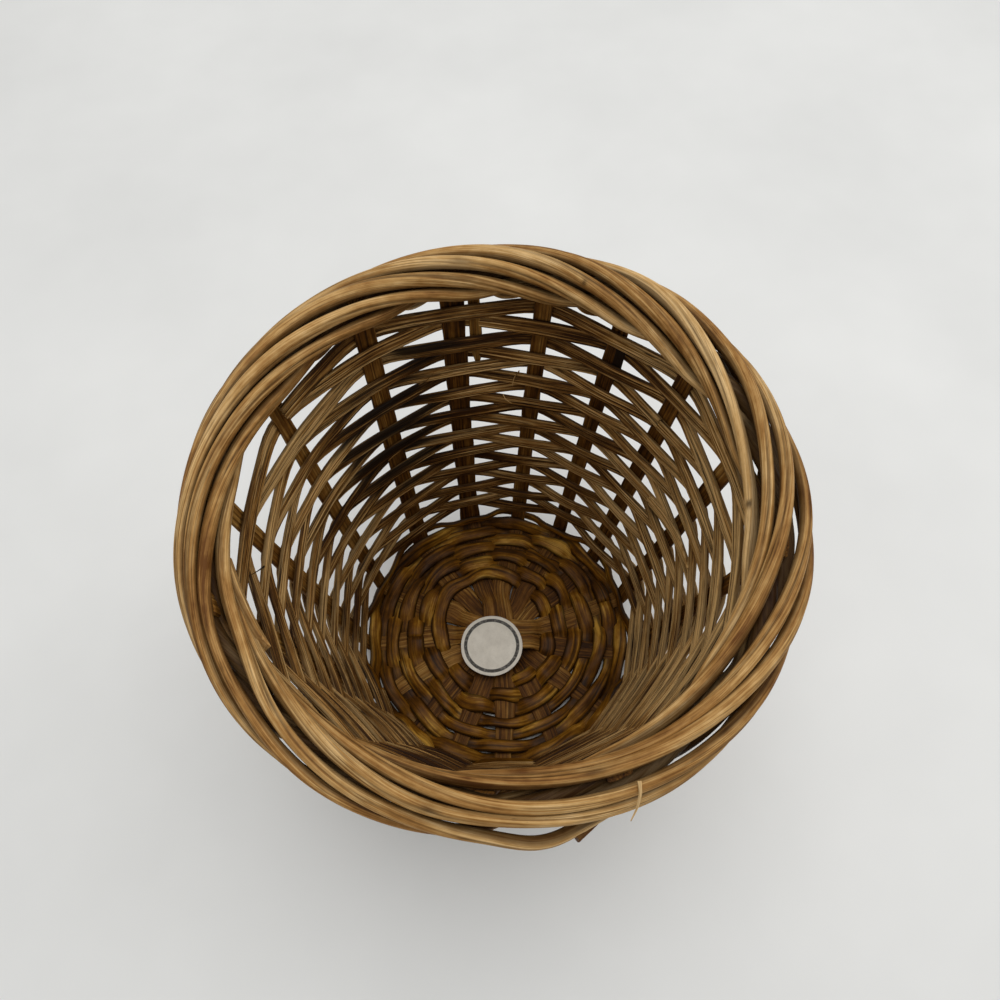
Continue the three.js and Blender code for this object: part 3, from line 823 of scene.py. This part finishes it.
CLOSE_RODS = (115, 70, 100)  # azimuth about which rods lie close together, half spans of that and its ease
BULGES = {7: (127, 7, 3.4)}  # rod: travel of its middle, half span and rise
NO_BULGE = (0, 1, 0)
PUSHES = [  # rod, travel, half span and turn by which it lies off its place
    (7, 54, 14, 17),
    (6, 76, 16, -15),
    (7, 106, 12, 12),
    (8, 84, 12, -7),
    (6, 124, 10, 6),
]
MARK_BREADTH = 0.6  # round the rod
MARKS = [  # rod, travel, half span, place round the rod, darkness, swelling
    (14, 28.5, 0.9, 0.9, 1.0, 0.1),
    (2, 65.7, 3.0, -0.35, 0.6, 0.03),
    (1, 56.8, 0.6, -0.3, 0.8, 0.04),
    (10, 64.7, 2.0, 0.3, 0.7, 0.0),
    (8, 84.5, 2.2, 0.0, 0.8, 0.0),
]


def slimming(azimuth):
    """The share by which the roll is slimmer at an azimuth."""
    centre, span, share = SLIM_ROLL
    return share * (1 - smooth(np.abs(angle_off(azimuth, centre)), span / 2, span))


def looseness(azimuth):
    """0 where rods lie close together, 1 where they have gaps."""
    centre, close, loose = CLOSE_RODS
    return smooth(np.abs(angle_off(azimuth, centre)), close, loose)


def on_roll(azimuth, turn, reach):
    """Points at a turn and a reach round the middle of the roll."""
    middle = RIM_RADIUS + SLIM_SHIFT * slimming(azimuth) * ROLL_RADIUS
    turn = np.radians(turn)
    return polar(middle + reach * np.cos(turn), azimuth, RIM_HEIGHT + reach * np.sin(turn))


def rod_path(stake, travel, rng):
    """Points of a rod at the given travels round the mouth, the directions out of the roll, and the share
    by which the rod is slimmer there."""
    tuck_end = ROLL_TRAVEL + TUCK_TRAVEL
    tuck_turn = ROD_OUTSIDE - ROD_TUCKED - ROLL_RATE * TUCK_TRAVEL
    along = np.radians(travel) * RIM_RADIUS
    azimuth = stake_azimuth(stake + (ROD_LEAD + travel) / STAKE_SPACE, RIM_RADIUS, RIM_HEIGHT)
    loose = looseness(azimuth)
    shown = smooth(travel, *FOOT_EASE)
    turn = ROD_START - ROLL_RATE * travel - tuck_turn * smooth(travel, ROLL_TRAVEL, tuck_end)
    turn = turn + shown * (wobble(rng, along, 2 + 2 * loose, 110) + loose * PAIRING * (-1) ** stake)
    turn = turn + sum(hump(travel, *push[1:]) for push in PUSHES if push[0] == stake)
    turn = turn + (180 / STAKE_SPACE + ROLL_RATE) * np.minimum(travel, 0)
    drawn_in = (1 - TAIL_REACH) * smooth(travel, tuck_end, tuck_end + TAIL_TRAVEL)
    reach = (ROLL_RADIUS + ROD_LIFT) * (shown - drawn_in) + wobble(rng, along, 0.35 * shown, 80)
    reach = reach + CORE_OFFSET * smooth(-travel, 0, FOOT_SETTLED)
    reach = reach + hump(travel, *BULGES.get(stake, NO_BULGE))
    slimmer = slimming(azimuth)
    path = on_roll(azimuth, turn, reach * (1 - slimmer))
    turn = np.radians(turn)[:, None]
    out = np.cos(turn) * polar(1, azimuth, 0) + np.sin(turn) * UP
    return path, out, SLIM_ROD * slimmer + LOOSE_ROD * loose


def add_rim_rods():
    for i in range(STAKES):
        rng = np.random.default_rng(ROD_SEED + i)
        travel = np.linspace(-HIDDEN_TRAVEL, ROLL_TRAVEL + TUCK_TRAVEL + TAIL_TRAVEL, ROD_STATIONS)
        path, across, slimmer = rod_path(i, travel, rng)
        along = length_along(path)
        thinning = rng.uniform(*ROD_THINNING) * (travel / ROLL_TRAVEL - 0.5)
        size = rng.uniform(*ROD_SIZES) - thinning + wobble(rng, along, 0.05, 70) - slimmer
        thinner, tail = ROD_TAIL
        taper = 1 - thinner * smooth(along, along[-1] - tail, along[-1])
        taper = taper + FOOT_SWELL * smooth(-travel, 0, FOOT_SETTLED)
        groove_turns = rng.uniform(*ROD_GROOVE_TURNS, rng.integers(1, 4))
        grooves = [(turn, ROD_GROOVE_BREADTH) for turn in groove_turns]
        radius = ROD_DIAMETER / 2 * size * taper
        section, dirt_and_shade = round_section(rng, along, ROD_OUTLINE, radius, ROD_UNEVEN, grooves)
        # Painted shade: the feet hidden in the roll are painted dark, with some grime
        foot_shade_and_dirt, clean_lit, dirty_shaded = FOOT_SHADE_AND_DIRT
        dirt_and_shade = np.maximum(0.8 * dirt_and_shade, foot_shade_and_dirt * smooth(-travel, clean_lit, dirty_shaded)[:, None])
        for _, place, span, side, dark, swelling in (mark for mark in MARKS if mark[0] == i):
            spot = hump(travel, place, span, 1)[:, None] * hump(ROD_TURNS, side, MARK_BREADTH, 1)
            section = section * (1 + swelling * spot[..., None])
            dirt_and_shade = np.maximum(dirt_and_shade, dark * spot)
        tone = 0.5 + 0.2 * rng.standard_normal() + wobble(rng, along, 0.15, 90)
        wear_and_painted_light = wear_and_painted_light_of(tone[:, None], 0, dirt_and_shade)
        piece = add_reed(f"dressed_rim_rod_{i + 1}", path, across, section, wear_and_painted_light, RIM_CANE, ROD_GRAIN, i)
        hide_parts(f"rim_rod_{i + 1}")


# Small loose pieces: let-in and broken bits of cane, and splinters

BIT_OUTLINE = flat_outline(13, 3.0)
BIT_STEP = 0.7  # between stations
BIT_GROOVES = [(-0.3, 0.14), (0.35, 0.14)]
BIT_GROOVE_DEPTH = 0.1
BIT_TIP = 0.1  # width of a pointed end, as a share of the bit's
HAIR_OUTLINE = round_outline(8)
HAIR_STEP = 0.6
HAIR_TAPER = 0.75  # share by which a splinter is thinner at its far end
SKEW = (0.31, 0.47, 0.83)  # a direction that no splinter has

# Points of the bits and splinters on the wall: azimuth, height and distance inwards from its middle
LET_IN_AZIMUTH = 92.4
LET_IN_STAKE = [(LET_IN_AZIMUTH, height, 0) for height in (100, 112, 124, 135)]
DARK_STUB = [(52.2, height, 1.3) for height in (112.5, 118, 124)]
LAPPED_END = [(26, 73, 3.1), (17, 76, 3.3), (8, 79, 3.3), (357, 81.5, 2.4)]
WALL_SPLINTERS = [  # points, thickness, tone, stain
    ([(80, 101, 2.7), (81.5, 98, 3.4), (82, 94.5, 4.6)], 0.5, 1.2, 0.0),
    ([(85, 88, 2.7), (84, 86, 3.6), (82, 85.5, 4.8)], 0.45, 1.2, 0.0),
    ([(111, 100, 2.6), (108, 102, 3.5), (106, 105, 4.0)], 0.5, 0.2, 0.4),
    ([(186, 112, 2.6), (188.5, 117, 3.4), (191.5, 123, 2.8)], 0.6, 0.1, 0.6),
    ([(205, 98, 2.6), (203, 100.5, 3.2), (200, 101, 4.4)], 0.5, 0.1, 0.6),
    ([(196, 104, 2.6), (194, 106, 3.6), (191, 107, 5.0)], 0.45, 0.2, 0.4),
    ([(40, 92, 2.6), (42, 94, 3.4), (45, 95, 4.2)], 0.45, 1.0, 0.0),
    ([(128, 70, 2.6), (126, 72, 3.6), (123, 73, 4.2)], 0.45, 0.3, 0.2),
]

# Points of those on the roll: azimuth, turn and reach
RIM_FIBRE = [(291.4, 68, 7.8), (290.8, 52, 8.8), (289.6, 32, 9.4), (288.2, 14, 10.2)]
FRONT_ROD_END = [(287, -48, 6.6), (283.5, -32, 8.6), (280.2, -19, 10.2)]
LEFT_ROD_END = [(193, 180, 6.2), (200, 180, 7.3), (206, 180, 8.1), (211, 180, 8.5), (215, 180, 8.8)]


def eased(stops):
    """A smooth curve of points near the given ones, from the first to the last."""
    stops = np.asarray(stops, float)
    places = np.linspace(0, len(stops) - 1, 12 * (len(stops) - 1) + 1)
    curve = between(places, np.arange(len(stops)), stops)
    soften(curve, 10)
    return curve


def add_bit(name, stops, across, width, thickness, material, tone, stain=0.0, points=(0.0, 0.0)):
    """A short flat bit of cane along a curve, narrowed to a point over the given lengths at its ends."""
    rng = np.random.default_rng(sum(map(ord, name)))
    path = resample(BIT_STEP, eased(stops))[0]
    along = length_along(path)
    narrow = np.ones(len(along))
    for reach, distance in zip(points, (along, along[-1] - along)):
        if reach:
            narrow = narrow * (BIT_TIP + (1 - BIT_TIP) * np.clip(distance / reach, 0, 1))
    section, dirt_and_shade = flat_section(
        rng, along, BIT_OUTLINE, width * narrow, thickness, BIT_GROOVES, BIT_GROOVE_DEPTH)
    wear_and_painted_light = wear_and_painted_light_of(tone, stain, 0.7 * dirt_and_shade)
    across = np.broadcast_to(across, path.shape)
    piece = add_reed(name, path, across, section, wear_and_painted_light, material, BIT_GRAIN, len(name))


def add_hair(name, stops, thickness, material, tone, stain=0.0):
    """A thin splinter along a curve, thinner towards its far end."""
    path = resample(HAIR_STEP, eased(stops))[0]
    along = length_along(path)
    radius = thickness / 2 * (1 - HAIR_TAPER * along / along[-1])
    section = radius[:, None, None] * HAIR_OUTLINE
    wear_and_painted_light = np.broadcast_to(wear_and_painted_light_of(tone, stain, 0.0), section.shape[:2] + (3,))
    across = np.broadcast_to(unit(np.cross(path[-1] - path[0], SKEW)), path.shape)
    piece = add_reed(name, path, across, section, wear_and_painted_light, material, HAIR_GRAIN, len(name))


def add_loose_pieces():
    add_bit("let_in_stake", [on_wall(*stop) for stop in LET_IN_STAKE], polar(1, LET_IN_AZIMUTH + 90, 0),
            4.6, 0.9, STAKE_CANE, tone=0.7, points=(9, 0))
    add_bit("dark_stub", [on_wall(*stop) for stop in DARK_STUB], polar(1, 52 + 90, 0),
            3.6, 0.8, STAKE_CANE, tone=0.1, stain=0.75)
    add_bit("lapped_end", [on_wall(*stop) for stop in LAPPED_END], up_wall(12),
            5.6, 1.1, SIDE_REED, tone=1.1, points=(2, 12))
    for k, (stops, thickness, tone, stain) in enumerate(WALL_SPLINTERS):
        add_hair(f"wall_splinter_{k + 1}", [on_wall(*stop) for stop in stops],
                 thickness, SIDE_REED, tone, stain)
    add_hair("rim_fibre", [on_roll(*stop) for stop in RIM_FIBRE], 1.1, RIM_CANE, tone=1.6)
    add_bit("cut_rod_end", [on_roll(*stop) for stop in FRONT_ROD_END], up_wall(283),
            2.2, 1.9, RIM_CANE, tone=-0.3, stain=0.25)
    add_bit("cut_rod_end_2", [on_roll(*stop) for stop in LEFT_ROD_END], up_wall(206),
            3.6, 2.6, RIM_CANE, tone=0.6, points=(0, 4))


# Paper label on the crossing

LABEL_SPOKES = 96
LABEL_RINGS = 14
LABEL_SHARES = (0.08, 0.98)  # of the radius, for the innermost ring and the last one before the edge
LABEL_RAGGED = 0.006
LABEL_WAVE = 0.1
LABEL_LIFT = 0.05  # of the lower face
LABEL_BEVEL = 0.05  # by which the edges of both faces are drawn together


def add_label():
    """A worn paper disc: rings of points on both faces, with an uneven edge."""
    rng = np.random.default_rng(LABEL_SEED)
    spokes, rings = LABEL_SPOKES, LABEL_RINGS
    turn = np.arange(spokes) * TAU / spokes
    shares = np.append(np.linspace(*LABEL_SHARES, rings - 1), 1.0)[:, None]
    radius = LABEL_DIAMETER / 2 * shares * (1 + wobble(rng, turn, LABEL_RAGGED, 0.9))
    flat = np.stack([radius * np.cos(turn), radius * np.sin(turn)], axis=-1)
    wave = LABEL_WAVE * shares**2 * np.cos(2 * turn + 0.7)
    top = (STRIP_PAIRS - 1) * LAYER_STEP + STRIP_THICKNESS + CLEARANCE
    faces, points, reed = [], [], []
    for side, lift in ((1, LABEL_THICKNESS), (-1, LABEL_LIFT)):
        first = len(points) * rings * spokes
        height = top + lift + wave - LABEL_BEVEL * side * (shares == 1.0)
        points.append(np.concatenate([flat + LABEL_CENTRE, height[..., None]], axis=-1))
        reed.append(np.concatenate([flat, np.full(height.shape, lift)[..., None]], axis=-1))
        for inner in range(first, first + (rings - 1) * spokes, spokes):
            outer = inner + spokes
            for j in range(spokes):
                ahead = (j + 1) % spokes
                faces.append([inner + j, outer + j, outer + ahead, inner + ahead][::side])
        faces.append(list(range(first, first + spokes))[::side])
    upper, lower = (rings - 1) * spokes, (2 * rings - 1) * spokes
    for j in range(spokes):
        ahead = (j + 1) % spokes
        faces.append([upper + j, lower + j, lower + ahead, upper + ahead])
    points, reed = (np.concatenate(halves).reshape(-1, 3) for halves in (points, reed))
    piece = add_object("dressed_paper_label", points, faces, reed, np.zeros(reed.shape), LABEL_PAPER)
    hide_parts("paper_label")


# Floor, light and camera, in metres

FLOOR_HALF = 4.0
SKY_COLOUR = (1.0, 0.99, 0.97, 1.0)
SKY_STRENGTH = 0.63
LIT_MIDDLE = (0, 0, 0.08)
CLIP_START = 0.01


def add_floor():
    half = FLOOR_HALF
    mesh = bpy.data.meshes.new("floor")
    corners = [(-half, -half, 0), (half, -half, 0), (half, half, 0), (-half, half, 0)]
    mesh.from_pydata(corners, [], [(0, 1, 2, 3)])
    mesh.materials.append(floor_material("floor"))
    floor = bpy.data.objects.new("floor", mesh)
    bpy.context.scene.collection.objects.link(floor)


def add_area(name, place, size, power):
    """A square light that faces the basket."""
    light = bpy.data.lights.new(name, "AREA")
    light.shape = "SQUARE"
    light.size = size
    light.energy = power
    lamp = bpy.data.objects.new(name, light)
    lamp.location = place
    lamp.rotation_mode = "QUATERNION"
    lamp.rotation_quaternion = (Vector(LIT_MIDDLE) - Vector(place)).to_track_quat("-Z", "Y")
    bpy.context.scene.collection.objects.link(lamp)


def add_light():
    world = bpy.data.worlds.new("studio")
    world.use_nodes = True
    background = world.node_tree.nodes["Background"]
    background.inputs["Color"].default_value = SKY_COLOUR
    background.inputs["Strength"].default_value = SKY_STRENGTH
    bpy.context.scene.world = world
    add_area("overhead", (0.08, 0.3, 1.35), size=1.1, power=8.6)
    add_area("right_window", (1.1, 0.3, 0.9), size=0.7, power=1.8)


def add_camera():
    pitch, yaw, roll = (math.radians(a) for a in (CAMERA_PITCH, CAMERA_YAW, CAMERA_ROLL))
    ahead = Vector((math.sin(yaw) * math.cos(pitch), math.cos(yaw) * math.cos(pitch), -math.sin(pitch)))
    right = Vector((math.cos(yaw), -math.sin(yaw), 0))
    up = right.cross(ahead)
    x = math.cos(roll) * right + math.sin(roll) * up
    y = math.cos(roll) * up - math.sin(roll) * right
    data = bpy.data.cameras.new("camera")
    data.lens = CAMERA_LENS
    data.sensor_width = CAMERA_SENSOR
    data.clip_start = CLIP_START
    camera = bpy.data.objects.new("camera", data)
    axes = Matrix((x, y, -ahead)).transposed().to_4x4()
    camera.matrix_world = Matrix.Translation(Vector(CAMERA_PLACE) * MM) @ axes
    bpy.context.scene.collection.objects.link(camera)
    bpy.context.scene.camera = camera


add_camera()
add_light()
add_floor()
add_strips()
add_base_weavers()
add_side_weavers()
add_rim_rods()
add_loose_pieces()
add_label()

bpy.context.scene.view_settings.view_transform = "Standard"
